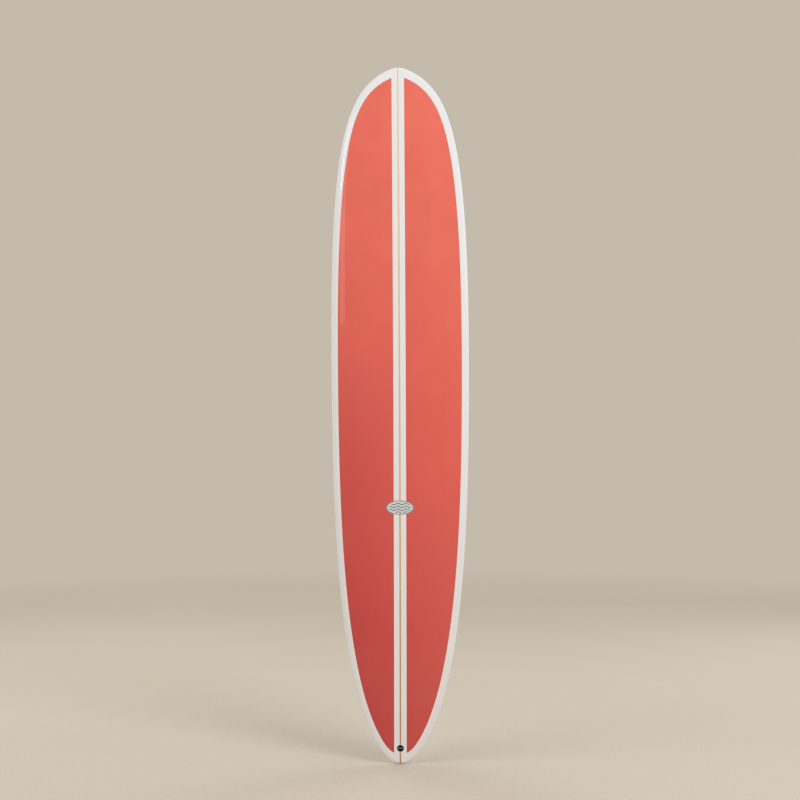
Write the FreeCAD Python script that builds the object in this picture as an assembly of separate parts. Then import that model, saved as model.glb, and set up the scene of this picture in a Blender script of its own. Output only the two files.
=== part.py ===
import FreeCAD, Part
import math
import os

# Longboard surfboard, standing upright on its tail.
# Millimetres. The origin is the tail tip, +Z runs up to the nose, the deck faces -Y,
# the bottom and the fin face +Y, and X runs across the board.

# ---- Board: overall sizes -------------------------------------------------------------
board_length = 2896.0        # tail tip to nose tip, along Z (9 ft 6 in)
board_width = 580.0          # at the wide point
board_thickness = 76.0       # at the thickest station
nose_rocker = 118.0          # lift of the bottom at the nose
tail_rocker = 86.0           # lift of the bottom at the tail
flat_station = 1300.0        # where the bottom lies flat, from the tail tip
rocker_power = 2.3           # how late the rocker begins
wide_station = 1700.0        # the wide point, from the tail tip
thick_station = 1420.0       # the thickest point, from the tail tip
nose_tip_thickness = 15.0
tail_tip_thickness = 17.0
foil_power = 2.6             # how late the thickness falls away
tip_round = 12.0             # length over which a tip rounds off in side view

# Outline of each half, tip to wide point: its handle at the tip as a share of the half width,
# its shoulder as shares of the half width and of the half's length, and its straight run as a
# share of the half's length.
nose_handle = 0.218
nose_shoulder = (0.672, 0.091)
nose_run = 0.916
tail_handle = 0.259
tail_shoulder = (0.877, 0.105)
tail_run = 0.527

# Cross section: where the rail apex lies, and how full each side of it is.
apex_share = 0.42            # height of the apex above the bottom, of the thickness
deck_fullness = 0.14
bottom_fullness = 0.32

# ---- Glass and colour -----------------------------------------------------------------
laminate = 1.2               # glass cloth and resin
colour_coat = 1.0            # pigmented or clear finish coat on the deck
rail_band = 29.4             # clear band between the outline and the colour panels
nose_band = 37.0             # the same at the nose tip
tail_band = 41.0
nose_blend = 240.0           # half width at which the nose's wider band has gone
tail_blend = 85.0
stripe_width = 52.0          # clear stripe between the two colour panels
decal_length = 120.0         # oval, across the board
decal_height = 60.0
decal_thickness = 0.5        # set into the colour coat, flush with it
decal_station = 1067.0       # its centre, from the tail tip

# ---- Blank ----------------------------------------------------------------------------
stringer_width = 6.35

# ---- Leash plug -----------------------------------------------------------------------
plug_station = 66.0
plug_diameter = 28.6
plug_wall = 3.2
plug_floor = 2.4
plug_bar_diameter = 3.2
plug_bar_depth = 5.0         # from the deck to the bar's axis
plug_bar_grip = 2.0          # length of bar held in each wall
plug_bed = 1.6               # resin between the plug and the foam
plug_foam = 0.46             # skin of foam left between that resin and the bottom's glass
plug_recess = 0.2            # how far the rim lies below the deck

# ---- Fin box --------------------------------------------------------------------------
box_station = 300.0          # centre of the box, from the tail tip
slot_length = 251.0
slot_width = 9.8
slot_depth = 21.0
lip_depth = 9.0              # from the bottom of the board to the grooves
groove_reach = 3.85          # how far each groove runs past the side of the slot
groove_height = 5.5
groove_width = slot_width + 2 * groove_reach
entry_length = 8.0           # gap in the lips where the pin and the plate go in
box_wall = 4.25              # beside the grooves
box_end_wall = 11.0          # past each end of the slot
box_floor = 4.0              # under the slot
box_length = slot_length + 2 * box_end_wall
box_width = groove_width + 2 * box_wall
box_depth = slot_depth + box_floor
box_bed = 1.6                # resin between the box and the foam

# ---- Fin and its hardware -------------------------------------------------------------
fin_depth = 236.0
fin_side_clearance = 0.25    # each side of the base, in the slot
fin_floor_clearance = 2.5    # under the base
fin_travel = 30.0            # each way along the slot
fin_end_clearance = 0.6      # left at each end of that travel
tab_length = 20.0
fin_thickness = slot_width - 2 * fin_side_clearance
fin_base_height = slot_depth - fin_floor_clearance
fin_base_length = slot_length - slot_width - tab_length - 2 * (fin_travel + fin_end_clearance)
fin_tail_overhang = 5.0      # of the blade past the back of the base
fin_front_inset = 2.0        # of the blade behind the front of the base
fin_chord = fin_base_length + fin_tail_overhang - fin_front_inset
fin_gap = 0.8                # between the blade's root and the board
fin_base_overlap = 1.0       # how far the base runs on into the blade
fin_rake = 55.0              # how far the back edge sweeps back
fin_hollow = 12.0            # how far it curves forward on the way
fin_tip_setback = 30.0       # of the tip behind the root's back edge
fin_leading_power = 1.8      # how late the leading edge curves back
fin_tip_power = 8.0          # how late the tip rounds off
fin_tip_thinning = 0.55      # share of the thickness lost from root to tip
fin_foil_bias = 0.35         # how far forward the foil is thickest
fin_foil_peak = 1.065        # keeps the biased foil as thin as the base
tab_top = 4.5                # from the board's bottom to the seat of the screw head
tab_thickness = 3.5
screw_diameter = 4.16
screw_end_clearance = 0.6    # between the screw's end and the floor of the slot
screw_length = slot_depth - tab_top - screw_end_clearance
screw_head_diameter = 8.0
screw_head_height = 2.4
screw_slot = 1.2
screw_clearance = 0.08       # radial, in the tab and in the plate
plate_length = 12.0
plate_side_clearance = 0.5
plate_gap = 0.05             # between the clamped plate and the lips
plate_room = 2.25            # under the clamped plate, for letting it down
plate_thickness = groove_height - plate_gap - plate_room
pin_end_clearance = 0.6      # each end of the pin, in the groove
pin_gap = 0.3                # between the pin and the lips
pin_room = 0.45              # under the pin
pin_diameter = groove_height - pin_gap - pin_room
pin_inset = 8.0              # from the back of the base to the pin's axis

# ---- Construction values ----------------------------------------------------------------
stations_per_half = 28
first_parameter = 0.02       # of the outline's curve, at the station next to each tip
section_points = 64
apex_steps = 40
fin_stations = 16
fin_section_points = 24
fin_last_share = 0.998       # share of the fin's depth at its last station
beyond = 400.0               # reach of cutting tools past the board

vector = FreeCAD.Vector


# ---- Shape of the board -----------------------------------------------------------------
def between(a, b, t):
    """Point at a share of the way from one plane point to another."""
    return (a[0] + (b[0] - a[0]) * t, a[1] + (b[1] - a[1]) * t)


def bezier(poles, t):
    """Point and derivative of a plane Bezier curve."""
    row = list(poles)
    while len(row) > 2:
        row = [between(a, b, t) for a, b in zip(row, row[1:])]
    first, second = row
    degree = len(poles) - 1
    derivative = ((second[0] - first[0]) * degree, (second[1] - first[1]) * degree)
    return between(first, second, t), derivative


def half_outline(half_width, tip, wide, handle, shoulder, run):
    """Bezier poles of one half's outline, from the tip at x = 0 to the wide point."""
    span = wide - tip
    return [
        (0.0, tip),
        (handle * half_width, tip),
        (shoulder[0] * half_width, tip + shoulder[1] * span),
        (half_width, wide - run * span),
        (half_width, wide),
    ]


def outline_stations():
    """Half width, Z and inward normal of each station, from the tail tip to the nose tip."""
    half = board_width / 2
    tail = half_outline(half, 0.0, wide_station, tail_handle, tail_shoulder, tail_run)
    nose = half_outline(half, board_length, wide_station, nose_handle, nose_shoulder, nose_run)
    step = (1 - first_parameter) / stations_per_half
    tail_parameters = [first_parameter + step * i for i in range(stations_per_half + 1)]
    nose_parameters = tail_parameters[-2::-1]
    stations = []
    for poles, sense, parameters in ((tail, 1, tail_parameters), (nose, -1, nose_parameters)):
        for t in parameters:
            (x, z), (dx, dz) = bezier(poles, t)
            length = math.hypot(dx, dz)
            stations.append((x, z, -abs(dz) / length, sense * abs(dx) / length))
    return stations


def rocker(z):
    """Lift of the bottom's centre line towards the deck."""
    if z < flat_station:
        return tail_rocker * ((flat_station - z) / flat_station) ** rocker_power
    return nose_rocker * ((z - flat_station) / (board_length - flat_station)) ** rocker_power


def thickness(z):
    if z < thick_station:
        tip, share = tail_tip_thickness, (thick_station - z) / thick_station
    else:
        tip, share = nose_tip_thickness, (z - thick_station) / (board_length - thick_station)
    return tip + (board_thickness - tip) * (1 - min(share, 1.0) ** foil_power)


def bottom_line(z):
    """Y of the bottom's centre line."""
    return tail_rocker + apex_share * tail_tip_thickness - rocker(z)


def apex_line(z):
    """Y of the rail's outermost line."""
    return bottom_line(z) - apex_share * thickness(z)


def deck_line(z):
    """Y of the deck's centre line."""
    return bottom_line(z) - thickness(z)


def slope(line, z):
    """Tilt of a centre line at a station, in degrees."""
    step = 1.0
    return math.degrees(math.atan((line(z + step) - line(z - step)) / (2 * step)))


def tip_rounding(z, inset):
    """Share of the full height left at a station close to a tip."""
    near = min(z - inset, board_length - inset - z)
    share = 1 - min(max(near / (tip_round - inset), 0.0), 1.0)
    return math.sqrt(1 - share * share)


def closed_curve(points):
    """Smooth closed curve through evenly numbered points, as a wire."""
    curve = Part.BSplineCurve()
    knots = [float(i) for i in range(len(points) + 1)]
    curve.interpolate(Points=points, Parameters=knots, PeriodicFlag=True)
    return Part.Wire(curve.toShape())


def section(half_width, z, inset):
    """Closed smooth cross section at one station, as a wire."""
    rounding = tip_rounding(z, inset)
    rise = ((1 - apex_share) * thickness(z) - inset) * rounding
    drop = (apex_share * thickness(z) - inset) * rounding
    points = []
    for i in range(section_points):
        angle = 2 * math.pi * (i + 0.5) / section_points
        c, s = math.cos(angle), math.sin(angle)
        full, height = (deck_fullness, -rise) if s > 0 else (bottom_fullness, -drop)
        x = half_width * c * (1 + full * s * s)
        y = apex_line(z) + height * s * (1 + full * c * c)
        points.append(vector(x, y, z))
    return closed_curve(points)


def board_body(inset):
    """The whole board, its surface moved inwards by the inset."""
    wires = [section(x + inset * nx, z + inset * nz, inset) for x, z, nx, nz in outline_stations()]
    return Part.makeLoft(wires, True, False)


# ---- Cutting tools ------------------------------------------------------------------------
def deck_side():
    """Everything on the deck's side of the rail apex."""
    first, last = -beyond, board_length + beyond
    heights = [board_length * i / apex_steps for i in range(apex_steps + 1)]
    points = [vector(-beyond, apex_line(z), z) for z in heights]
    curve = Part.BSplineCurve()
    curve.interpolate(points)
    tail_end, nose_end = points[0], points[-1]
    corners = [
        nose_end,
        vector(-beyond, nose_end.y, last),
        vector(-beyond, -2 * beyond, last),
        vector(-beyond, -2 * beyond, first),
        vector(-beyond, tail_end.y, first),
        tail_end,
    ]
    edges = [curve.toShape()] + [Part.makeLine(a, b) for a, b in zip(corners, corners[1:])]
    return Part.Face(Part.Wire(edges)).extrude(vector(2 * beyond, 0, 0))


def panel_edge():
    """X and Z along the right panel's outer edge, from the tail end to the nose end."""
    edge = []
    for x, z, nx, nz in outline_stations():
        at_tip, blend = (tail_band, tail_blend) if z < wide_station else (nose_band, nose_blend)
        near_tip = (1 + math.cos(math.pi * min(x / blend, 1.0))) / 2
        band_here = rail_band + (at_tip - rail_band) * near_tip
        edge.append((x + band_here * nx, z + band_here * nz))
    shoulder = tip_round / 2
    between_tips = [(x, z) for x, z in edge if x > shoulder]
    return [(0.0, tail_band)] + between_tips + [(0.0, board_length - nose_band)]


def panel_window():
    """Prism over the area inside the clear rail band, on the deck's side only."""
    edges = []
    for side in (1, -1):
        curve = Part.BSplineCurve()
        curve.interpolate([vector(side * x, -2 * beyond, z) for x, z in panel_edge()])
        edges.append(curve.toShape())
    prism = Part.Face(Part.Wire(edges)).extrude(vector(0, 4 * beyond, 0))
    return prism.common(deck_side())


def band(low, high):
    """Slab between two X values, over the whole board."""
    size = board_length + 2 * beyond
    return Part.makeBox(high - low, size, size, vector(low, -size / 2, -beyond))


def decal_prism():
    centre = vector(0, -2 * beyond, decal_station)
    oval = Part.Ellipse(centre, decal_length / 2, decal_height / 2).toShape()
    oval.rotate(centre, vector(1, 0, 0), 90)
    return Part.Face(Part.Wire(oval)).extrude(vector(0, 4 * beyond, 0)).common(deck_side())


def at_surface(shape, line, z):
    """Moves a shape drawn at the origin onto a centre line, turned to follow it."""
    shape.rotate(vector(0, 0, 0), vector(1, 0, 0), -slope(line, z))
    shape.translate(vector(0, line(z), z))
    return shape


def disc(diameter, top, bottom):
    """Cylinder along Y between two Y values, round the local origin."""
    return Part.makeCylinder(diameter / 2, bottom - top, vector(0, top, 0), vector(0, 1, 0))


def capsule(length, width, low, high):
    """Round-ended prism along Z, between two Y values."""
    half, radius = length / 2 - width / 2, width / 2
    block = Part.makeBox(width, high - low, 2 * half, vector(-radius, low, -half))
    ends = [Part.makeCylinder(radius, high - low, vector(0, low, z), vector(0, 1, 0)) for z in (-half, half)]
    return block.fuse(ends).removeSplitter()


# ---- Leash plug (local frame: the deck is y = 0 and +Y goes into the board) ------------------
plug_thin_station = plug_station - plug_diameter / 2 - plug_bed
plug_depth = thickness(plug_thin_station) - laminate - colour_coat - plug_foam - plug_bed


def plug_pocket():
    return disc(plug_diameter + 2 * plug_bed, -plug_depth, plug_depth + plug_bed)


def leash_plug_cup():
    cup = disc(plug_diameter, plug_recess, plug_depth)
    cup = cup.cut(disc(plug_diameter - 2 * plug_wall, -plug_depth, plug_depth - plug_floor))
    return cup.cut(leash_plug_bar())


def leash_plug_bar():
    length = plug_diameter - 2 * plug_wall + 2 * plug_bar_grip
    start = vector(-length / 2, plug_bar_depth, 0)
    return Part.makeCylinder(plug_bar_diameter / 2, length, start, vector(1, 0, 0))


def leash_plug_bed():
    return plug_pocket().cut(disc(plug_diameter, -2 * plug_depth, plug_depth))


# ---- Fin box (local frame: the board's bottom is y = 0 and +Y goes out of the board) ---------
def box_pocket():
    return capsule(box_length + 2 * box_bed, box_width + 2 * box_bed, -box_depth - box_bed, box_depth)


def box_space():
    return capsule(box_length, box_width, -box_depth, box_depth)


def fin_box():
    grooves = capsule(slot_length, groove_width, -lip_depth - groove_height, -lip_depth)
    slot = capsule(slot_length, slot_width, -slot_depth, 2 * box_depth)
    entry = Part.makeBox(
        groove_width, lip_depth + 2 * box_depth, entry_length,
        vector(-groove_width / 2, -lip_depth, -entry_length / 2),
    )
    return box_space().cut(slot.fuse([grooves, entry]))


def fin_box_bed():
    return box_pocket().cut(capsule(box_length, box_width, -box_depth, 2 * box_depth))


# ---- Fin (same local frame as its box) -------------------------------------------------------
base_back = -(fin_base_length + tab_length) / 2
base_front = base_back + fin_base_length
screw_place = base_front + tab_length / 2
pin_place = base_back + pin_inset
pin_level = -lip_depth - pin_gap - pin_diameter / 2
plate_top = -lip_depth - plate_gap


def fin_section(share):
    """Foil section of the blade at a share of its depth."""
    root_back = base_back - fin_tail_overhang
    tip = root_back - fin_tip_setback
    front = tip + (root_back + fin_chord - tip) * math.sqrt(1 - share ** fin_leading_power)
    swept = root_back + 4 * fin_hollow * share * (1 - share) - fin_rake * share * share
    tip_curve = math.sqrt(1 - share ** fin_tip_power)
    back = tip - (tip - swept) * tip_curve
    half_thickness = fin_thickness / 2 * (1 - fin_tip_thinning * share) * tip_curve
    y = fin_gap + (fin_depth - fin_gap) * share
    points = []
    for i in range(fin_section_points):
        angle = 2 * math.pi * (i + 0.5) / fin_section_points
        c, s = math.cos(angle), math.sin(angle)
        x = half_thickness * s * (1 + fin_foil_bias * c) / fin_foil_peak
        z = (front + back) / 2 + (front - back) / 2 * c
        points.append(vector(x, y, z))
    return closed_curve(points)


def fin():
    angles = [math.pi / 2 * i / fin_stations for i in range(fin_stations + 1)]
    shares = [fin_last_share * math.sin(angle) for angle in angles]
    blade = Part.makeLoft([fin_section(share) for share in shares], True, False)
    half = fin_thickness / 2
    base_top = fin_gap + fin_base_overlap
    base = Part.makeBox(
        fin_thickness, fin_base_height + base_top, fin_base_length,
        vector(-half, -fin_base_height, base_back),
    )
    tab = Part.makeBox(
        fin_thickness, tab_thickness, tab_length,
        vector(-half, -tab_top - tab_thickness, base_front),
    )
    solid = blade.fuse([base, tab]).removeSplitter()
    hole = disc(screw_diameter + 2 * screw_clearance, -box_depth, 0.0)
    hole.translate(vector(0, 0, screw_place))
    return solid.cut(hole).cut(fin_pin())


def fin_pin():
    length = groove_width - 2 * pin_end_clearance
    start = vector(-length / 2, pin_level, pin_place)
    return Part.makeCylinder(pin_diameter / 2, length, start, vector(1, 0, 0))


def fin_screw():
    head = disc(screw_head_diameter, -tab_top, -tab_top + screw_head_height)
    shank = disc(screw_diameter, -tab_top - screw_length, -tab_top)
    recess = Part.makeBox(
        screw_head_diameter, screw_slot, screw_slot,
        vector(-screw_head_diameter / 2, -tab_top + screw_head_height - screw_slot, -screw_slot / 2),
    )
    screw = head.fuse(shank).cut(recess)
    screw.translate(vector(0, 0, screw_place))
    return screw


def fin_plate():
    width = groove_width - 2 * plate_side_clearance
    plate = Part.makeBox(
        width, plate_thickness, plate_length,
        vector(-width / 2, plate_top - plate_thickness, -plate_length / 2),
    )
    plate = plate.cut(disc(screw_diameter + 2 * screw_clearance, -box_depth, 0.0))
    plate.translate(vector(0, 0, screw_place))
    return plate


# ---- The board put together --------------------------------------------------------------------
def build():
    outer = board_body(0.0)
    under_coat = board_body(colour_coat)
    blank = board_body(colour_coat + laminate)

    plug_hole = at_surface(plug_pocket(), deck_line, plug_station)
    box_hole = at_surface(box_pocket(), bottom_line, box_station)
    window = panel_window()
    decal = decal_prism()

    core = blank.cut([plug_hole, box_hole])
    half_stringer = stringer_width / 2
    half_stripe = stripe_width / 2
    side = board_width

    coat = outer.common(window).cut([under_coat, plug_hole])
    glass = under_coat.common(window).cut([blank, plug_hole])
    bottom = outer.cut([blank, window, plug_hole, box_hole])
    inlay = outer.common(decal).cut(board_body(decal_thickness))
    plain_coat = coat.cut(inlay)

    return {
        "foam_blank_left": core.common(band(-side, -half_stringer)),
        "foam_blank_right": core.common(band(half_stringer, side)),
        "stringer": core.common(band(-half_stringer, half_stringer)),
        "bottom_glass": bottom,
        "deck_glass": glass,
        "deck_panel_left": plain_coat.common(band(-side, -half_stripe)),
        "deck_panel_right": plain_coat.common(band(half_stripe, side)),
        "deck_stripe": plain_coat.common(band(-half_stripe, half_stripe)),
        "deck_decal": inlay,
        "leash_plug_cup": at_surface(leash_plug_cup(), deck_line, plug_station),
        "leash_plug_bar": at_surface(leash_plug_bar(), deck_line, plug_station),
        "leash_plug_bed": at_surface(leash_plug_bed(), deck_line, plug_station).common(outer),
        "fin_box": at_surface(fin_box(), bottom_line, box_station).common(outer),
        "fin_box_bed": at_surface(fin_box_bed(), bottom_line, box_station).common(outer),
        "fin": at_surface(fin(), bottom_line, box_station),
        "fin_pin": at_surface(fin_pin(), bottom_line, box_station),
        "fin_screw": at_surface(fin_screw(), bottom_line, box_station),
        "fin_plate": at_surface(fin_plate(), bottom_line, box_station),
    }


os.makedirs("parts", exist_ok=True)
for name, shape in build().items():
    solids = shape.Solids
    piece = solids[0] if len(solids) == 1 else Part.makeCompound(solids)
    print(name, len(solids), "solid", round(piece.Volume / 1000, 2), "cm3", "valid", piece.isValid())
    piece.exportStep(os.path.join("parts", name + ".step"))
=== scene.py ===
import math

import bmesh
import bpy
import numpy as np
from mathutils import Matrix, Vector


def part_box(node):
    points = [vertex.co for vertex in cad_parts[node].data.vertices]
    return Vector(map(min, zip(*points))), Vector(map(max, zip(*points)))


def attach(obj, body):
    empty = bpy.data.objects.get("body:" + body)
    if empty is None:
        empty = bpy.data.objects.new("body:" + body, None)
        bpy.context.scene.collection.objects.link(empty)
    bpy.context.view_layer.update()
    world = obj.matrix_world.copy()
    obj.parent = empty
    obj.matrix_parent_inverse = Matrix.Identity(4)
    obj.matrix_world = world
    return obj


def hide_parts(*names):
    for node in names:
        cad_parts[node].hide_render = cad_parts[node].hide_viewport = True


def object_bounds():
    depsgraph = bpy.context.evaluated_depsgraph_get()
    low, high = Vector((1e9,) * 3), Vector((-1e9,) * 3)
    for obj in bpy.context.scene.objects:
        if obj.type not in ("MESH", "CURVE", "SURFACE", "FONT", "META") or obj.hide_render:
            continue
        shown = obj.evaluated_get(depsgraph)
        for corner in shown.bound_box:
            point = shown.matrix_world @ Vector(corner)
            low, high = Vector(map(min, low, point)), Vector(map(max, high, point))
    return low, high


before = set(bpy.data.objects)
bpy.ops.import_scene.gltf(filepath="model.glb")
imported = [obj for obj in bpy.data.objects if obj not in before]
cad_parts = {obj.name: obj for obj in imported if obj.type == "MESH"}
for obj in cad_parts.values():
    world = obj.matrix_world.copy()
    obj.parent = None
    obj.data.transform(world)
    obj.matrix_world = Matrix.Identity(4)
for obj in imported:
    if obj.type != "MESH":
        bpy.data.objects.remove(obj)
cad_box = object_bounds()

MM = 0.001
SHARP_ANGLE = math.radians(35)
MERGE_DISTANCE = 1e-6
NEAR_AXIS = 0.01 * MM        # keeps a turned outline just off its axis
CLOTH_PITCH = 1.1 * MM
FIN_CLOTH_PITCH = 0.9 * MM
WAVE_RATE = 20               # radians of a wave texture per unit of its coordinate
FIN_LAYERS_PER_METRE = 1900.0

# ---- Sizes read from the frame ---------------------------------------------------------
glass_low, glass_high = (Vector(corner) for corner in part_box("bottom_glass"))
stripe_low, stripe_high = (Vector(corner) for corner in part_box("deck_stripe"))

BOARD_LENGTH = 2896.0 * MM
BOARD_WIDTH = glass_high.x - glass_low.x
STRIPE_WIDTH = stripe_high.x - stripe_low.x

# ---- The board's shape, as in the CAD part ----------------------------------------------
BOARD_THICKNESS = 76.0 * MM
NOSE_ROCKER = 118.0 * MM
TAIL_ROCKER = 86.0 * MM
FLAT_STATION = 1300.0 * MM
ROCKER_POWER = 2.3
WIDE_STATION = 1700.0 * MM
THICK_STATION = 1420.0 * MM
NOSE_TIP_THICKNESS = 15.0 * MM
TAIL_TIP_THICKNESS = 17.0 * MM
FOIL_POWER = 2.6
TIP_ROUND = 12.0 * MM
NOSE_OUTLINE = ((0.218, 0.0), (0.672, 0.091), 0.916)   # handle, shoulder, run
TAIL_OUTLINE = ((0.259, 0.0), (0.877, 0.105), 0.527)
APEX_SHARE = 0.42
DECK_FULLNESS = 0.14
BOTTOM_FULLNESS = 0.32

GLASS_THICKNESS = 2.2 * MM
COAT_THICKNESS = 1.0 * MM
RAIL_BAND = 29.4 * MM
NOSE_BAND = 37.0 * MM
TAIL_BAND = 41.0 * MM
NOSE_BLEND = 240.0 * MM
TAIL_BLEND = 85.0 * MM
STRINGER_WIDTH = 6.35 * MM

DECAL_LENGTH = 120.0 * MM
DECAL_HEIGHT = 60.0 * MM
DECAL_STATION = 1067.0 * MM
DECAL_RISE = 0.05 * MM
DECAL_THICKNESS = 0.4 * MM

PLUG_STATION = 66.0 * MM
PLUG_RADIUS = 14.3 * MM
PLUG_DEPTH = 18.0 * MM
PLUG_WALL = 3.2 * MM
PLUG_FLOOR = 2.4 * MM
PLUG_BAR_RADIUS = 1.6 * MM
PLUG_BAR_DEPTH = 5.0 * MM
PLUG_BAR_GRIP = 2.0 * MM
PLUG_BED = 1.6 * MM

BOX_STATION = 300.0 * MM
BOX_LENGTH = 273.0 * MM
BOX_WIDTH = 26.0 * MM
BOX_BED = 1.6 * MM

FIN_DEPTH = 236.0 * MM
FIN_THICKNESS = 9.3 * MM
FIN_CHORD = 163.0 * MM
FIN_BASE_LENGTH = 160.0 * MM
FIN_BASE_HEIGHT = 18.5 * MM
FIN_GAP = 0.8 * MM
FIN_OVERHANG = 5.0 * MM
FIN_RAKE = 55.0 * MM
FIN_HOLLOW = 12.0 * MM
FIN_SETBACK = 30.0 * MM
FIN_LEADING_POWER = 1.8
FIN_TIP_POWER = 8
FIN_TIP_THINNING = 0.55
FIN_FOIL_BIAS = 0.35
FIN_FOIL_PEAK = 1.065
FIN_LAST_SHARE = 0.9995
FIN_BASE_OVERLAP = 1.0 * MM
SCREW_HOLE_RADIUS = 2.16 * MM
TAB_LENGTH = 20.0 * MM
TAB_TOP = 4.5 * MM
TAB_THICKNESS = 3.5 * MM
SCREW_RADIUS = 2.08 * MM
SCREW_LENGTH = 15.9 * MM
SCREW_HEAD_RADIUS = 4.0 * MM
SCREW_HEAD_HEIGHT = 2.4 * MM

# ---- Camera: the photograph's viewing angle ----------------------------------------------
CAMERA_DISTANCE = 6.0
CAMERA_HEIGHT = 1.5
CAMERA_AZIMUTH = math.radians(3.56)
CAMERA_ROLL = math.radians(-0.2)
CAMERA_LENS = 64.75
CAMERA_SHIFT = (0.0008, 0.0051)


# ---- Shape functions ----------------------------------------------------------------------
def bezier(poles, t):
    rows = [np.outer(np.ones_like(t), pole) for pole in poles]
    while len(rows) > 1:
        rows = [a + (b - a) * t[:, None] for a, b in zip(rows, rows[1:])]
    return rows[0]


def half_outline(tip, shape):
    """One half of the outline, tip to wide point: X, Z and the inward normal."""
    handle, shoulder, run = shape
    half, span = BOARD_WIDTH / 2, WIDE_STATION - tip
    poles = [
        (0.0, tip),
        (handle[0] * half, tip),
        (shoulder[0] * half, tip + shoulder[1] * span),
        (half, WIDE_STATION - run * span),
        (half, WIDE_STATION),
    ]
    t = np.linspace(0, 1, 6001)
    points = bezier(poles, t)
    step = np.gradient(points, axis=0)
    normal = np.stack([-np.abs(step[:, 1]), np.abs(step[:, 0]) * np.sign(span)], axis=1)
    return points, normal / np.linalg.norm(normal, axis=1)[:, None]


tail_points, tail_normals = half_outline(0.0, TAIL_OUTLINE)
nose_points, nose_normals = half_outline(BOARD_LENGTH, NOSE_OUTLINE)
OUTLINE = np.vstack([tail_points, nose_points[::-1]])


def panel_edge(points, normals, at_tip, blend):
    """The colour panels' outer edge beside one half of the outline."""
    near_tip = (1 + np.cos(np.pi * np.minimum(points[:, 0] / blend, 1.0))) / 2
    band = RAIL_BAND + (at_tip - RAIL_BAND) * near_tip
    edge = points + normals * band[:, None]
    inside = edge[:, 0] >= 0
    return edge[inside]


tail_edge = panel_edge(tail_points, tail_normals, TAIL_BAND, TAIL_BLEND)
nose_edge = panel_edge(nose_points, nose_normals, NOSE_BAND, NOSE_BLEND)
tail_edge[:, 1] = np.maximum.accumulate(tail_edge[:, 1])
nose_edge[:, 1] = np.minimum.accumulate(nose_edge[:, 1])
EDGE = np.vstack([tail_edge, nose_edge[::-1]])
WINDOW_TAIL, WINDOW_NOSE = EDGE[0, 1], EDGE[-1, 1]


def half_width(z):
    return np.interp(z, OUTLINE[:, 1], OUTLINE[:, 0])


def edge_width(z):
    """Half width of the area inside the clear rail band; nothing beyond its ends."""
    inside = (z > WINDOW_TAIL) & (z < WINDOW_NOSE)
    return np.where(inside, np.interp(z, EDGE[:, 1], EDGE[:, 0]), 0.0)


def thickness(z):
    tail = z < THICK_STATION
    tip = np.where(tail, TAIL_TIP_THICKNESS, NOSE_TIP_THICKNESS)
    span = np.where(tail, THICK_STATION, BOARD_LENGTH - THICK_STATION)
    share = np.abs(z - THICK_STATION) / span
    return tip + (BOARD_THICKNESS - tip) * (1 - np.clip(share, 0, 1) ** FOIL_POWER)


def bottom_line(z):
    tail = np.clip((FLAT_STATION - z) / FLAT_STATION, 0, None) ** ROCKER_POWER * TAIL_ROCKER
    nose = np.clip((z - FLAT_STATION) / (BOARD_LENGTH - FLAT_STATION), 0, None) ** ROCKER_POWER * NOSE_ROCKER
    return TAIL_ROCKER + APEX_SHARE * TAIL_TIP_THICKNESS - tail - nose


def deck_line(z):
    return bottom_line(z) - thickness(z)


def section(z, angle):
    """X and Y of the board's surface; the angle runs from the right rail over the deck."""
    near = np.clip(np.minimum(z, BOARD_LENGTH - z) / TIP_ROUND, 0, 1)
    rounding = np.sqrt(1 - (1 - near) ** 2)
    c, s = np.cos(angle), np.sin(angle)
    full = np.where(s > 0, DECK_FULLNESS, BOTTOM_FULLNESS)
    height = np.where(s > 0, 1 - APEX_SHARE, APEX_SHARE) * thickness(z) * rounding
    x = half_width(z) * c * (1 + full * s * s)
    y = bottom_line(z) - APEX_SHARE * thickness(z) - height * s * (1 + full * c * c)
    return x, y


TABLE_ANGLE = np.linspace(0, math.pi / 2, 8001)
TABLE_SHARE = np.cos(TABLE_ANGLE) * (1 + DECK_FULLNESS * np.sin(TABLE_ANGLE) ** 2)


def deck_angle(x, z):
    """Angle of the deck point above a given X."""
    share = np.clip(np.abs(x) / np.maximum(half_width(z), 1e-9), 0, 1)
    angle = np.interp(share, TABLE_SHARE[::-1], TABLE_ANGLE[::-1])
    return np.where(x < 0, math.pi - angle, angle)


def deck_points(x, z):
    sx, y = section(z, deck_angle(x, z))
    return np.stack([sx, y, z], axis=-1)


def cosine(start, stop, count):
    return start + (stop - start) * (1 - np.cos(np.pi * np.arange(count + 1) / count)) / 2


def slope(line, z):
    step = 1.0 * MM
    return math.atan((float(line(z + step)) - float(line(z - step))) / (2 * step))


def surface_frame(line, z):
    """Matrix from a piece's local frame onto a centre line of the board."""
    return Matrix.Translation((0.0, float(line(z)), z)) @ Matrix.Rotation(-slope(line, z), 4, "X")


DECK_FRAME = surface_frame(deck_line, PLUG_STATION)
BOX_FRAME = surface_frame(bottom_line, BOX_STATION)


# ---- Mesh helpers ---------------------------------------------------------------------------
def mesh_object(name, vertices, faces):
    mesh = bpy.data.meshes.new(name)
    mesh.from_pydata([tuple(v) for v in vertices], [], faces)
    obj = bpy.data.objects.new(name, mesh)
    bpy.context.scene.collection.objects.link(obj)
    clean(obj)
    return obj


def on_centre_plane(face):
    """True for a wall inside the skin where its two lips meet on the board's centre plane."""
    return all(abs(vertex.co.x) < MERGE_DISTANCE for vertex in face.verts)


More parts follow.
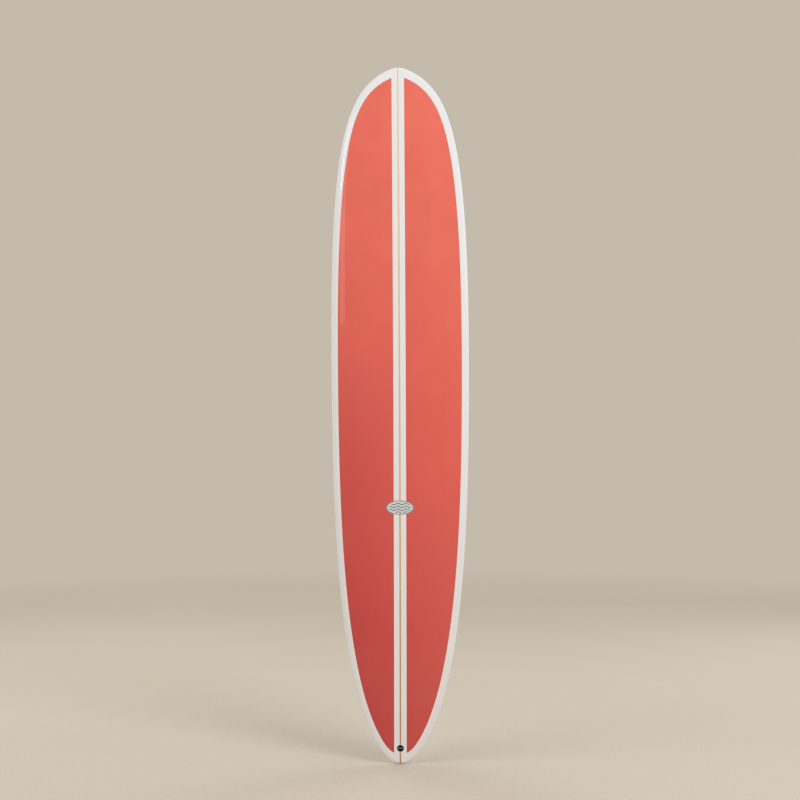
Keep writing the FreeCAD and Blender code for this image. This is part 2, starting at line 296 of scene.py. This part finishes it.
def clean(obj):
    """Welds doubled points, turns faces outwards and shades smooth between sharp edges."""
    work = bmesh.new()
    work.from_mesh(obj.data)
    bmesh.ops.remove_doubles(work, verts=work.verts, dist=MERGE_DISTANCE)
    bmesh.ops.dissolve_degenerate(work, edges=work.edges, dist=MERGE_DISTANCE)
    inner_walls = [face for face in work.faces if on_centre_plane(face)]
    bmesh.ops.delete(work, geom=inner_walls, context="FACES_ONLY")
    bmesh.ops.recalc_face_normals(work, faces=work.faces)
    for face in work.faces:
        face.smooth = True
    for edge in work.edges:
        edge.smooth = len(edge.link_faces) == 2 and edge.calc_face_angle(0.0) < SHARP_ANGLE
    work.to_mesh(obj.data)
    work.free()


def grid_faces(rows, columns, offset=0, flip=False):
    faces = []
    for i in range(rows - 1):
        for j in range(columns - 1):
            a = offset + i * columns + j
            quad = (a, a + 1, a + columns + 1, a + columns)
            faces.append(quad[::-1] if flip else quad)
    return faces


def grid_normals(points):
    along = np.gradient(points, axis=0)
    across = np.gradient(points, axis=1)
    normal = np.cross(along, across)
    length = np.linalg.norm(normal, axis=-1, keepdims=True)
    return normal / np.maximum(length, 1e-12)


def shell(name, points, normals, depth):
    """Closed thin shell under a grid of surface points."""
    rows, columns = points.shape[:2]
    inner = points - normals * depth
    count = rows * columns
    faces = grid_faces(rows, columns) + grid_faces(rows, columns, count, flip=True)
    border = list(range(columns))
    border += [i * columns + columns - 1 for i in range(1, rows)]
    border += [(rows - 1) * columns + j for j in range(columns - 2, -1, -1)]
    border += [i * columns for i in range(rows - 2, 0, -1)]
    for a, b in zip(border, border[1:] + border[:1]):
        faces.append((b, a, a + count, b + count))
    vertices = np.vstack([points.reshape(-1, 3), inner.reshape(-1, 3)])
    return mesh_object(name, vertices, faces)


def lathe(name, profile, matrix, steps=96):
    """Turns a closed outline of (radius, depth) points about the local Y axis."""
    vertices, faces = [], []
    count = len(profile)
    for i in range(steps):
        turn = 2 * math.pi * i / steps
        for radius, depth in profile:
            vertices.append(matrix @ Vector((radius * math.cos(turn), depth, radius * math.sin(turn))))
        for j in range(count):
            a, b = i * count + j, i * count + (j + 1) % count
            c, d = (i + 1) % steps * count + (j + 1) % count, (i + 1) % steps * count + j
            faces.append((a, b, c, d))
    return mesh_object(name, vertices, faces)


def rounded(corners, radius, steps=5):
    """Closed outline with each corner replaced by a small arc-like curve."""
    outline = []
    count = len(corners)
    for i in range(count):
        before, here, after = (Vector(corners[(i + k) % count]) for k in (-1, 0, 1))
        reach_in = min(radius, (before - here).length / 2)
        reach_out = min(radius, (after - here).length / 2)
        start = here + (before - here).normalized() * reach_in
        end = here + (after - here).normalized() * reach_out
        for k in range(steps + 1):
            t = k / steps
            outline.append(tuple(start * (1 - t) ** 2 + here * 2 * t * (1 - t) + end * t * t))
    return outline


def prism(name, outline, low, high, matrix):
    """Closed prism over an outline of local (X, Z) points, between two local Y values."""
    count = len(outline)
    vertices = [matrix @ Vector((x, y, z)) for y in (low, high) for x, z in outline]
    faces = [tuple(range(count)), tuple(range(2 * count - 1, count - 1, -1))]
    faces += [(i, (i + 1) % count, count + (i + 1) % count, count + i) for i in range(count)]
    return mesh_object(name, vertices, faces)


def circle(radius, steps, centre=0.0):
    """Outline of a hole in local (X, Z), its centre moved along Z."""
    turns = [2 * math.pi * k / steps for k in range(steps)]
    return [(radius * math.cos(turn), centre + radius * math.sin(turn)) for turn in turns]


def stadium(length, width, steps=24):
    radius, straight = width / 2, length / 2 - width / 2
    ends = []
    for centre, start in ((straight, 0.0), (-straight, math.pi)):
        for k in range(steps + 1):
            turn = start + math.pi * k / steps
            ends.append((radius * math.cos(turn), centre + radius * math.sin(turn)))
    return ends


def cut(obj, cutter):
    """Removes a helper solid from a piece."""
    modifier = obj.modifiers.new("cut", "BOOLEAN")
    modifier.operation = "DIFFERENCE"
    modifier.solver = "EXACT"
    modifier.object = cutter
    bpy.context.view_layer.update()
    evaluated = obj.evaluated_get(bpy.context.evaluated_depsgraph_get())
    result = bpy.data.meshes.new_from_object(evaluated)
    obj.modifiers.remove(modifier)
    obj.data = result
    bpy.data.objects.remove(cutter)
    clean(obj)
    return obj


# ---- Material helpers --------------------------------------------------------------------------
class Nodes:
    """Short hand for building one procedural material."""

    def __init__(self, name):
        self.material = bpy.data.materials.new(name)
        self.material.use_nodes = True
        self.tree = self.material.node_tree
        self.shader = self.tree.nodes["Principled BSDF"]
        self.place = self.tree.nodes.new("ShaderNodeTexCoord").outputs["Object"]

    def link(self, source, target):
        if isinstance(source, (int, float, tuple)):
            target.default_value = source
        else:
            self.tree.links.new(source, target)

    def set(self, **values):
        for key, value in values.items():
            self.shader.inputs[key.replace("_", " ")].default_value = value

    def mapped(self, scale):
        node = self.tree.nodes.new("ShaderNodeMapping")
        node.inputs["Scale"].default_value = scale
        self.link(self.place, node.inputs["Vector"])
        return node.outputs["Vector"]

    def noise(self, scale, detail=4.0, roughness=0.5, where=None):
        node = self.tree.nodes.new("ShaderNodeTexNoise")
        node.inputs["Scale"].default_value = scale
        node.inputs["Detail"].default_value = detail
        node.inputs["Roughness"].default_value = roughness
        self.link(where or self.place, node.inputs["Vector"])
        return node.outputs["Fac"]

    def wave(self, scale, where, bands="X"):
        node = self.tree.nodes.new("ShaderNodeTexWave")
        node.bands_direction = bands
        node.inputs["Scale"].default_value = scale
        self.link(where, node.inputs["Vector"])
        return node.outputs["Fac"]

    def math(self, operation, a, b=0.0, c=0.0):
        node = self.tree.nodes.new("ShaderNodeMath")
        node.operation = operation
        for socket, value in zip(node.inputs, (a, b, c)):
            self.link(value, socket)
        return node.outputs["Value"]

    def separate(self):
        node = self.tree.nodes.new("ShaderNodeSeparateXYZ")
        self.link(self.place, node.inputs["Vector"])
        return node.outputs

    def ramp(self, source, *stops):
        node = self.tree.nodes.new("ShaderNodeValToRGB")
        elements = node.color_ramp.elements
        while len(elements) < len(stops):
            elements.new(0.5)
        for element, (position, colour) in zip(elements, stops):
            element.position = position
            element.color = colour if isinstance(colour, tuple) else (colour, colour, colour, 1.0)
        self.link(source, node.inputs["Fac"])
        return node.outputs["Color"]

    def mix(self, factor, a, b, blend="MIX"):
        node = self.tree.nodes.new("ShaderNodeMix")
        node.data_type = "RGBA"
        node.blend_type = blend
        self.link(factor, node.inputs["Factor"])
        self.link(a, node.inputs["A"])
        self.link(b, node.inputs["B"])
        return node.outputs["Result"]

    def range(self, source, low, high, to_low, to_high):
        node = self.tree.nodes.new("ShaderNodeMapRange")
        limits = {"From Min": low, "From Max": high, "To Min": to_low, "To Max": to_high}
        for key, value in limits.items():
            node.inputs[key].default_value = value
        self.link(source, node.inputs["Value"])
        return node.outputs["Result"]

    def bump(self, height, distance):
        node = self.tree.nodes.new("ShaderNodeBump")
        node.inputs["Distance"].default_value = distance
        node.inputs["Strength"].default_value = 1.0
        self.link(height, node.inputs["Height"])
        return node.outputs["Normal"]

    def to(self, key, source):
        self.link(source, self.shader.inputs[key])


def colour(red, green, blue):
    """Linear colour from sRGB values out of 255."""
    def linear(value):
        value /= 255
        return value / 12.92 if value <= 0.04045 else ((value + 0.055) / 1.055) ** 2.4
    return (linear(red), linear(green), linear(blue), 1.0)


def weave(nodes, pitch):
    """Plain cloth weave across the board: 0 between the threads, 1 on them."""
    scale = 2 * math.pi / pitch / WAVE_RATE
    threads = nodes.wave(1.0, nodes.mapped((scale, 0, 0)))
    picks = nodes.wave(1.0, nodes.mapped((0, 0, scale)), bands="Z")
    return nodes.math("MAXIMUM", threads, picks)


def gloss(nodes):
    """The polished resin finish that every glassed surface of the board shares."""
    nodes.set(IOR=1.5, Specular_IOR_Level=0.1, Coat_Weight=1.0, Coat_Roughness=0.035, Coat_IOR=1.5)
    smears = nodes.noise(9.0, 5.0, 0.6)
    fine = nodes.noise(160.0, 3.0, 0.6, nodes.mapped((1.0, 1.0, 0.12)))
    both = nodes.math("ADD", nodes.math("MULTIPLY", smears, 0.6), nodes.math("MULTIPLY", fine, 0.4))
    nodes.to("Roughness", nodes.range(both, 0.35, 0.65, 0.24, 0.36))
    ripple = nodes.noise(7.0, 2.0, 0.4, nodes.mapped((1.0, 1.0, 0.35)))
    normal = nodes.bump(ripple, 0.0009)
    nodes.to("Normal", normal)
    nodes.to("Coat Normal", normal)


def along_board(nodes, *stops):
    """Blends colours along the board; each stop is a share of its length and a colour."""
    return nodes.ramp(nodes.math("DIVIDE", nodes.separate()["Z"], BOARD_LENGTH), *stops)


def coral_coat():
    nodes = Nodes("coral_resin_panel_painted_shade")
    gloss(nodes)
    # Painted shade: both ramps darken towards the tail, which stands lowest, and the left ramp is darker than
    # the right, as if lit from the upper right.
    left = along_board(nodes, (0.06, colour(184, 42, 51)), (0.45, colour(209, 77, 72)),
                       (0.77, colour(236, 109, 93)), (0.97, colour(238, 114, 96)))
    right = along_board(nodes, (0.06, colour(204, 75, 69)), (0.45, colour(232, 98, 86)),
                        (0.77, colour(234, 111, 93)), (0.97, colour(235, 111, 94)))
    # Painted light: the coral grows lighter across the board from the left side to the right side.
    base = nodes.mix(nodes.range(nodes.separate()["X"], -0.20, 0.20, 0.0, 1.0), left, right)
    cloud = nodes.range(nodes.noise(2.4, 5.0, 0.55), 0.35, 0.65, 0.0, 0.35)
    base = nodes.mix(cloud, base, colour(208, 84, 74))
    streak = nodes.noise(9.0, 2.0, 0.5, nodes.mapped((1.0, 1.0, 0.05)))
    base = nodes.mix(nodes.range(streak, 0.4, 0.65, 0.0, 0.08), base, colour(196, 74, 66))
    cloth = nodes.range(weave(nodes, CLOTH_PITCH), 0.4, 1.0, 0.0, 0.05)
    nodes.to("Base Color", nodes.mix(cloth, base, colour(232, 124, 106)))
    return nodes.material


def white_glass():
    """Clear laminate over white foam, the wood stringer showing as a line through it; painted shade darkens
    both towards the tail.
    """
    nodes = Nodes("clear_glass_over_foam_painted_shade")
    gloss(nodes)
    # Painted shade: the white foam is a touch darker and warmer towards the tail, which stands lowest.
    foam = along_board(nodes, (0.05, colour(233, 230, 231)), (0.92, colour(233, 234, 238)))
    cells = nodes.range(nodes.noise(900.0, 2.0, 0.7), 0.3, 0.7, 0.0, 0.12)
    foam = nodes.mix(cells, foam, colour(206, 206, 206))
    cloud = nodes.range(nodes.noise(3.2, 5.0, 0.5), 0.35, 0.7, 0.0, 0.25)
    foam = nodes.mix(cloud, foam, colour(224, 220, 216))
    cloth = nodes.range(weave(nodes, CLOTH_PITCH), 0.4, 1.0, 0.0, 0.10)
    foam = nodes.mix(cloth, foam, colour(240, 240, 238))
    grain = nodes.noise(420.0, 5.0, 0.65, nodes.mapped((1.0, 1.0, 0.035)))
    # Painted shade: the stringer line darkens from pale cream at the nose to tan at the tail, which stands
    # lowest.
    wood = along_board(nodes, (0.05, colour(192, 144, 100)), (0.45, colour(226, 186, 140)),
                       (0.92, colour(238, 215, 176)))
    dark = nodes.mix(0.35, wood, colour(150, 104, 62))
    wood = nodes.mix(nodes.range(grain, 0.35, 0.7, 0.6, 0.0), wood, dark)
    across = nodes.math("ABSOLUTE", nodes.separate()["X"])
    half = STRINGER_WIDTH / 2
    in_line = nodes.range(across, half - 0.1 * MM, half + 0.15 * MM, 1.0, 0.0)
    glue = nodes.range(across, half, half + 0.6 * MM, 0.5, 0.0)
    base = nodes.mix(glue, foam, colour(170, 146, 116))
    nodes.to("Base Color", nodes.mix(in_line, base, wood))
    return nodes.material


def decal_print():
    """A plain wave motif inside a ring, printed on silvery tissue."""
    nodes = Nodes("wave_decal_print")
    gloss(nodes)
    place = nodes.separate()
    across = nodes.math("DIVIDE", place["X"], DECAL_LENGTH / 2)
    up = nodes.math("DIVIDE", nodes.math("SUBTRACT", place["Z"], DECAL_STATION), DECAL_HEIGHT / 2)
    square = nodes.math("ADD", nodes.math("MULTIPLY", across, across), nodes.math("MULTIPLY", up, up))
    radius = nodes.math("SQRT", square)
    tissue = nodes.noise(600.0, 4.0, 0.7)
    ground = nodes.ramp(tissue, (0.3, colour(196, 202, 206)), (0.7, colour(224, 228, 230)))
    swell = nodes.math("SINE", nodes.math("MULTIPLY", across, 11.0))
    height = nodes.math("MULTIPLY_ADD", swell, 0.11, up)
    lines = nodes.math("SINE", nodes.math("MULTIPLY", height, 16.0))
    ink = nodes.range(lines, 0.35, 0.6, 0.0, 1.0)
    inside = nodes.range(radius, 0.78, 0.80, 1.0, 0.0)
    from_ring = nodes.math("ABSOLUTE", nodes.math("SUBTRACT", radius, 0.95))
    ring = nodes.range(from_ring, 0.035, 0.045, 1.0, 0.0)
    marks = nodes.math("MAXIMUM", nodes.math("MULTIPLY", ink, inside), ring)
    nodes.to("Base Color", nodes.mix(nodes.math("MULTIPLY", marks, 0.85), ground, colour(62, 66, 68)))
    return nodes.material


def black_plastic():
    nodes = Nodes("moulded_black_plastic")
    nodes.set(IOR=1.5)
    grain = nodes.noise(1400.0, 3.0, 0.6)
    scuffs = nodes.noise(120.0, 5.0, 0.7)
    base = nodes.ramp(scuffs, (0.35, colour(26, 29, 33)), (0.75, colour(44, 48, 54)))
    nodes.to("Base Color", base)
    nodes.to("Roughness", nodes.range(scuffs, 0.3, 0.7, 0.32, 0.5))
    nodes.to("Normal", nodes.bump(grain, 0.00003))
    return nodes.material


def cast_resin():
    nodes = Nodes("cast_resin_bed")
    gloss(nodes)
    bubbles = nodes.noise(800.0, 3.0, 0.6)
    nodes.to("Base Color", nodes.ramp(bubbles, (0.3, colour(214, 210, 198)), (0.7, colour(228, 226, 218))))
    return nodes.material


def steel():
    nodes = Nodes("drawn_stainless_steel")
    nodes.set(Metallic=1.0)
    lines = nodes.noise(900.0, 3.0, 0.6, nodes.mapped((0.04, 1.0, 1.0)))
    nodes.to("Base Color", nodes.ramp(lines, (0.3, colour(186, 188, 190)), (0.7, colour(214, 215, 216))))
    nodes.to("Roughness", nodes.range(lines, 0.3, 0.7, 0.2, 0.36))
    return nodes.material


def brass():
    nodes = Nodes("turned_brass")
    nodes.set(Metallic=1.0)
    lines = nodes.noise(900.0, 3.0, 0.6, nodes.mapped((0.04, 1.0, 1.0)))
    nodes.to("Base Color", nodes.ramp(lines, (0.3, colour(190, 148, 76)), (0.7, colour(214, 176, 102))))
    nodes.to("Roughness", nodes.range(lines, 0.3, 0.7, 0.24, 0.4))
    return nodes.material


def fin_laminate():
    """Tinted fibreglass: layers of cloth sanded through to contour lines along the foil."""
    nodes = Nodes("fibreglass_fin_laminate")
    gloss(nodes)
    cloud = nodes.noise(14.0, 5.0, 0.55)
    base = nodes.ramp(cloud, (0.3, colour(150, 30, 28)), (0.7, colour(176, 44, 38)))
    from_middle = nodes.math("ABSOLUTE", nodes.separate()["X"])
    layers = nodes.math("FRACT", nodes.math("MULTIPLY", from_middle, FIN_LAYERS_PER_METRE))
    edge = nodes.range(layers, 0.0, 0.16, 1.0, 0.0)
    base = nodes.mix(nodes.math("MULTIPLY", edge, 0.35), base, colour(112, 18, 20))
    cloth = nodes.range(weave(nodes, FIN_CLOTH_PITCH), 0.4, 1.0, 0.0, 0.12)
    nodes.to("Base Color", nodes.mix(cloth, base, colour(206, 84, 74)))
    return nodes.material


def foam():
    nodes = Nodes("blown_foam")
    cells = nodes.noise(1500.0, 2.0, 0.6)
    nodes.to("Base Color", nodes.ramp(cells, (0.3, colour(226, 220, 200)), (0.7, colour(240, 237, 224))))
    nodes.set(Roughness=0.9)
    nodes.to("Normal", nodes.bump(cells, 0.0002))
    return nodes.material


def planed_wood():
    nodes = Nodes("planed_basswood")
    grain = nodes.noise(300.0, 5.0, 0.65, nodes.mapped((1.0, 1.0, 0.03)))
    nodes.to("Base Color", nodes.ramp(grain, (0.3, colour(190, 146, 96)), (0.7, colour(224, 188, 136))))
    nodes.to("Roughness", nodes.range(grain, 0.3, 0.7, 0.5, 0.7))
    nodes.to("Normal", nodes.bump(grain, 0.0001))
    return nodes.material


def pale_floor():
    """Pale floor that fades into the background far from the board."""
    nodes = Nodes("pale_floor")
    fine = nodes.noise(60.0, 6.0, 0.6)
    nodes.to("Base Color", nodes.ramp(fine, (0.3, colour(200, 192, 178)), (0.7, colour(207, 199, 186))))
    nodes.set(Roughness=0.9)
    reach = nodes.tree.nodes.new("ShaderNodeVectorMath")
    reach.operation = "LENGTH"
    nodes.link(nodes.place, reach.inputs[0])
    nodes.to("Alpha", nodes.range(reach.outputs["Value"], 2.2, 7.0, 1.0, 0.0))
    return nodes.material


def dress(obj, material):
    """Gives an object one material; a CAD node keeps its slots."""
    if not obj.material_slots:
        obj.data.materials.append(material)
    for slot in obj.material_slots:
        slot.material = material


MATERIALS = {
    "coral": coral_coat(),
    "white": white_glass(),
    "decal": decal_print(),
    "black": black_plastic(),
    "resin": cast_resin(),
    "steel": steel(),
    "brass": brass(),
    "fin": fin_laminate(),
    "foam": foam(),
    "wood": planed_wood(),
}


# ---- Stations shared by every piece of the skin --------------------------------------------------
def edge_station(points):
    """Where the panels' outer edge reaches the stripe."""
    return float(np.interp(STRIPE_WIDTH / 2, points[:, 0], points[:, 1]))


PANEL_TAIL, PANEL_NOSE = edge_station(tail_edge), edge_station(nose_edge)
TAIL_ROWS = cosine(0.0, WINDOW_TAIL, 20)
NOSE_ROWS = cosine(WINDOW_NOSE, BOARD_LENGTH, 20)
DECK_ROWS = np.unique(np.concatenate([
    cosine(WINDOW_TAIL, PANEL_TAIL, 14),
    cosine(PANEL_TAIL, PANEL_NOSE, 260),
    cosine(PANEL_NOSE, WINDOW_NOSE, 14),
]))
ALL_ROWS = np.unique(np.concatenate([TAIL_ROWS, DECK_ROWS, NOSE_ROWS]))


def finish_piece(obj, material, body, slot_name, *nodes):
    dress(obj, MATERIALS[material])
    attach(obj, body)
    if nodes:
        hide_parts(*nodes)
    return obj


# ---- Skin of the board ------------------------------------------------------------------------------
def build_glass():
    """Clear glass over the bottom, the rails and the band round the panels."""
    columns = 200
    z = ALL_ROWS[:, None]
    start = deck_angle(edge_width(z), z)
    share = np.linspace(0, 1, columns)[None, :]
    angle = start - share * (2 * start + math.pi)
    x, y = section(z, angle)
    points = np.stack([x, y, np.broadcast_to(z, x.shape)], axis=-1)
    obj = shell("rail_and_bottom_glass", points, -grid_normals(points), GLASS_THICKNESS)
    above, below = 40.0 * MM, -12.0 * MM
    pocket = stadium(BOX_LENGTH + 2 * BOX_BED, BOX_WIDTH + 2 * BOX_BED)
    cut(obj, prism("cutter", pocket, below, above, BOX_FRAME))
    return finish_piece(obj, "white", "board", "clear_glass", "bottom_glass")


def build_panel(name, side, node):
    z = DECK_ROWS[(DECK_ROWS >= PANEL_TAIL) & (DECK_ROWS <= PANEL_NOSE)][:, None]
    share = np.linspace(0, 1, 49)[None, :]
    inner = STRIPE_WIDTH / 2
    x = inner + (np.maximum(edge_width(z), inner) - inner) * share
    points = deck_points(side * x, np.broadcast_to(z, x.shape))
    normals = -side * grid_normals(points)
    obj = shell(name, points, normals, COAT_THICKNESS)
    return finish_piece(obj, "coral", "board", "coral_coat", node)


def build_stripe():
    z = DECK_ROWS[:, None]
    share = np.linspace(-1, 1, 33)[None, :]
    x = np.minimum(edge_width(z), STRIPE_WIDTH / 2) * share
    points = deck_points(x, np.broadcast_to(z, x.shape))
    obj = shell("centre_stripe", points, -grid_normals(points), COAT_THICKNESS)
    hole, reach = circle(PLUG_RADIUS + PLUG_BED, 96), 20.0 * MM
    cut(obj, prism("cutter", hole, -reach, reach, DECK_FRAME))
    return finish_piece(obj, "white", "board", "clear_coat", "deck_stripe")


def build_decal():
    rings, turns = 24, 144
    share = np.linspace(0.0, 1.0, rings + 1)[:, None]
    turn = np.linspace(0, 2 * math.pi, turns + 1)[None, :]
    x = DECAL_LENGTH / 2 * share * np.cos(turn)
    z = DECAL_STATION + DECAL_HEIGHT / 2 * share * np.sin(turn)
    points = deck_points(x, z)
    points[..., 1] -= DECAL_RISE
    normals = np.zeros_like(points)
    normals[..., 1] = -1.0
    obj = shell("wave_decal", points, normals, DECAL_THICKNESS)
    return finish_piece(obj, "decal", "board", "decal_paper", "deck_decal")


# ---- Leash plug ---------------------------------------------------------------------------------------
def build_plug():
    recess, edge = 0.2 * MM, 0.7 * MM
    inner = PLUG_RADIUS - PLUG_WALL
    corners = [
        (NEAR_AXIS, PLUG_DEPTH), (PLUG_RADIUS, PLUG_DEPTH), (PLUG_RADIUS, recess),
        (inner, recess), (inner, PLUG_DEPTH - PLUG_FLOOR), (NEAR_AXIS, PLUG_DEPTH - PLUG_FLOOR),
    ]
    cup = lathe("leash_cup", rounded(corners, edge), DECK_FRAME)
    finish_piece(cup, "black", "board", "black_plastic", "leash_plug_cup")
    half = PLUG_RADIUS - PLUG_WALL + PLUG_BAR_GRIP
    middle = DECK_FRAME @ Matrix.Translation((0, PLUG_BAR_DEPTH, 0))
    sideways = middle @ Matrix.Rotation(math.pi / 2, 4, "Z")
    corners = [(NEAR_AXIS, -half), (PLUG_BAR_RADIUS, -half), (PLUG_BAR_RADIUS, half), (NEAR_AXIS, half)]
    bar = lathe("leash_bar", rounded(corners, 0.3 * MM), sideways, 48)
    finish_piece(bar, "steel", "board", "stainless_steel", "leash_plug_bar")
    lip = 0.02 * MM
    ring = [
        (PLUG_RADIUS, lip), (PLUG_RADIUS + PLUG_BED, lip), (PLUG_RADIUS + PLUG_BED, PLUG_DEPTH + PLUG_BED),
        (NEAR_AXIS, PLUG_DEPTH + PLUG_BED), (NEAR_AXIS, PLUG_DEPTH), (PLUG_RADIUS, PLUG_DEPTH),
    ]
    bed = lathe("leash_cup_resin", ring, DECK_FRAME)
    finish_piece(bed, "resin", "board", "resin", "leash_plug_bed")


# ---- Fin ------------------------------------------------------------------------------------------------
BASE_BACK = -(FIN_BASE_LENGTH + TAB_LENGTH) / 2
BASE_FRONT = BASE_BACK + FIN_BASE_LENGTH
SCREW_PLACE = BASE_FRONT + TAB_LENGTH / 2


def blade_points(shares, turns):
    root_back = BASE_BACK - FIN_OVERHANG
    tip = root_back - FIN_SETBACK
    s = shares[:, None]
    front = tip + (root_back + FIN_CHORD - tip) * np.sqrt(1 - s ** FIN_LEADING_POWER)
    swept = root_back + 4 * FIN_HOLLOW * s * (1 - s) - FIN_RAKE * s * s
    rounding = np.sqrt(1 - s ** FIN_TIP_POWER)
    back = tip - (tip - swept) * rounding
    half = FIN_THICKNESS / 2 * (1 - FIN_TIP_THINNING * s) * rounding
    c, d = np.cos(turns)[None, :], np.sin(turns)[None, :]
    x = half * d * (1 + FIN_FOIL_BIAS * c) / FIN_FOIL_PEAK
    z = (front + back) / 2 + (front - back) / 2 * c
    y = np.broadcast_to(FIN_GAP + (FIN_DEPTH - FIN_GAP) * s, x.shape)
    return np.stack([x, y, z], axis=-1)


def build_fin():
    shares = np.sin(np.linspace(0, math.pi / 2, 72))
    shares[-1] = FIN_LAST_SHARE
    turns = np.linspace(0, 2 * math.pi, 129)[:-1]
    points = blade_points(shares, turns)
    rows, columns = points.shape[:2]
    faces = [tuple(range(columns)), tuple(range((rows - 1) * columns, rows * columns))[::-1]]
    for i in range(rows - 1):
        for j in range(columns):
            k = (j + 1) % columns
            low, high = i * columns, (i + 1) * columns
            faces.append((low + j, low + k, high + k, high + j))
    vertices = [BOX_FRAME @ Vector(p) for p in points.reshape(-1, 3)]
    blade = mesh_object("fin_blade", vertices, faces)
    finish_piece(blade, "fin", "fin_set", "fin_laminate", "fin")
    half = FIN_THICKNESS / 2
    top = FIN_GAP + FIN_BASE_OVERLAP
    tab_end, tab_bottom = BASE_FRONT + TAB_LENGTH, -TAB_TOP - TAB_THICKNESS
    base_outline = [
        (-FIN_BASE_HEIGHT, BASE_BACK), (top, BASE_BACK), (top, BASE_FRONT), (-TAB_TOP, BASE_FRONT),
        (-TAB_TOP, tab_end), (tab_bottom, tab_end), (tab_bottom, BASE_FRONT), (-FIN_BASE_HEIGHT, BASE_FRONT),
    ]
    swap_x_and_y = Matrix(((0, 1, 0, 0), (1, 0, 0, 0), (0, 0, 1, 0), (0, 0, 0, 1)))
    base = prism("fin_base", rounded(base_outline, 0.8 * MM), -half, half, BOX_FRAME @ swap_x_and_y)
    hole, below = circle(SCREW_HOLE_RADIUS, 48, SCREW_PLACE), -25.0 * MM
    cut(base, prism("cutter", hole, below, 0.0, BOX_FRAME))
    finish_piece(base, "fin", "fin_set", "fin_laminate", "fin")


def build_screw():
    place = BOX_FRAME @ Matrix.Translation((0, 0, SCREW_PLACE))
    seat, end = -TAB_TOP, -TAB_TOP - SCREW_LENGTH
    rim, chamfer_width, chamfer_height = 0.6 * MM, 0.4 * MM, 0.5 * MM
    crown = SCREW_HEAD_HEIGHT - rim
    dome = [(SCREW_HEAD_RADIUS * math.cos(a), seat + rim + crown * math.sin(a))
            for a in np.linspace(0, math.pi / 2, 12)[:-1]]
    shank = [
        (NEAR_AXIS, end), (SCREW_RADIUS - chamfer_width, end), (SCREW_RADIUS, end + chamfer_height),
        (SCREW_RADIUS, seat), (SCREW_HEAD_RADIUS, seat),
    ]
    profile = shank + dome + [(NEAR_AXIS, seat + SCREW_HEAD_HEIGHT)]
    screw = lathe("fin_screw_machined", profile, place, 64)
    groove, reach, above = 1.2 * MM, 6 * MM, 10 * MM
    slot = [(-reach, -groove / 2), (reach, -groove / 2), (reach, groove / 2), (-reach, groove / 2)]
    cut(screw, prism("cutter", slot, seat + SCREW_HEAD_HEIGHT - groove, seat + above, place))
    finish_piece(screw, "steel", "screw", "stainless_steel", "fin_screw")


build_glass()
build_panel("colour_panel_left", -1, "deck_panel_left")
build_panel("colour_panel_right", 1, "deck_panel_right")
build_stripe()
build_decal()
build_plug()
build_fin()
build_screw()

for node, material in {
    "foam_blank_left": "foam", "foam_blank_right": "foam", "stringer": "wood", "deck_glass": "white",
    "fin_box": "black", "fin_box_bed": "resin", "fin_pin": "brass", "fin_plate": "steel",
}.items():
    dress(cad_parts[node], MATERIALS[material])


# ---- Floor, light and camera ---------------------------------------------------------------------------
def build_floor():
    size = 30.0
    level = cad_box[0][2]
    corners = [(-size, -size, level), (size, -size, level), (size, size, level), (-size, size, level)]
    floor = mesh_object("floor", corners, [(0, 1, 2, 3)])
    dress(floor, pale_floor())


def area_light(name, place, target, width, height, power, tint, mirrored=False):
    """Soft rectangular light; only the strips show up in the gloss."""
    data = bpy.data.lights.new(name, "AREA")
    data.shape = "RECTANGLE"
    data.size = width
    data.size_y = height
    data.energy = power
    data.color = tint
    light = bpy.data.objects.new(name, data)
    light.location = place
    light.rotation_euler = (Vector(target) - Vector(place)).to_track_quat("-Z", "Y").to_euler()
    light.visible_glossy = mirrored
    bpy.context.scene.collection.objects.link(light)


def build_lights():
    upper, middle = (0.0, 0.0, 2.1), (0.0, 0.0, 1.4)
    cool, white = (0.84, 0.91, 1.0), (0.93, 0.96, 1.0)
    area_light("key_right", (3.6, -3.4, 4.1), upper, 2.6, 2.6, 172.0, cool)
    area_light("fill_left", (-4.6, -2.2, 4.2), upper, 3.0, 3.0, 95.0, cool)
    area_light("back_left", (-3.0, 3.6, 3.4), middle, 2.0, 3.0, 58.0, white)
    area_light("back_right", (3.4, 3.2, 2.6), middle, 2.0, 3.0, 56.0, white)
    area_light("strip_left", (-2.72, -4.19, 2.75), upper, 0.9, 1.8, 5.5, white, True)
    area_light("strip_rail", (-3.4, -3.7, 3.3), upper, 0.4, 1.0, 9.0, cool, True)
    area_light("strip_right", (4.9, -0.9, 2.8), upper, 0.7, 1.3, 9.0, white, True)
    area_light("strip_back", (-4.6, 1.9, 2.4), middle, 0.5, 2.6, 12.0, white, True)
    world = bpy.data.worlds.new("studio")
    world.use_nodes = True
    background = world.node_tree.nodes["Background"]
    background.inputs["Color"].default_value = colour(196, 187, 172)
    background.inputs["Strength"].default_value = 1.0
    bpy.context.scene.world = world


def build_camera():
    data = bpy.data.cameras.new("camera")
    data.lens = CAMERA_LENS
    data.shift_x, data.shift_y = CAMERA_SHIFT
    camera = bpy.data.objects.new("camera", data)
    camera.location = (
        CAMERA_DISTANCE * math.sin(CAMERA_AZIMUTH), -CAMERA_DISTANCE * math.cos(CAMERA_AZIMUTH), CAMERA_HEIGHT
    )
    facing = Matrix.Rotation(CAMERA_AZIMUTH, 4, "Z") @ Matrix.Rotation(math.pi / 2, 4, "X")
    camera.rotation_euler = (facing @ Matrix.Rotation(CAMERA_ROLL, 4, "Z")).to_euler()
    bpy.context.scene.collection.objects.link(camera)
    bpy.context.scene.camera = camera


build_floor()
build_lights()
build_camera()
bpy.context.scene.view_settings.view_transform = "Standard"
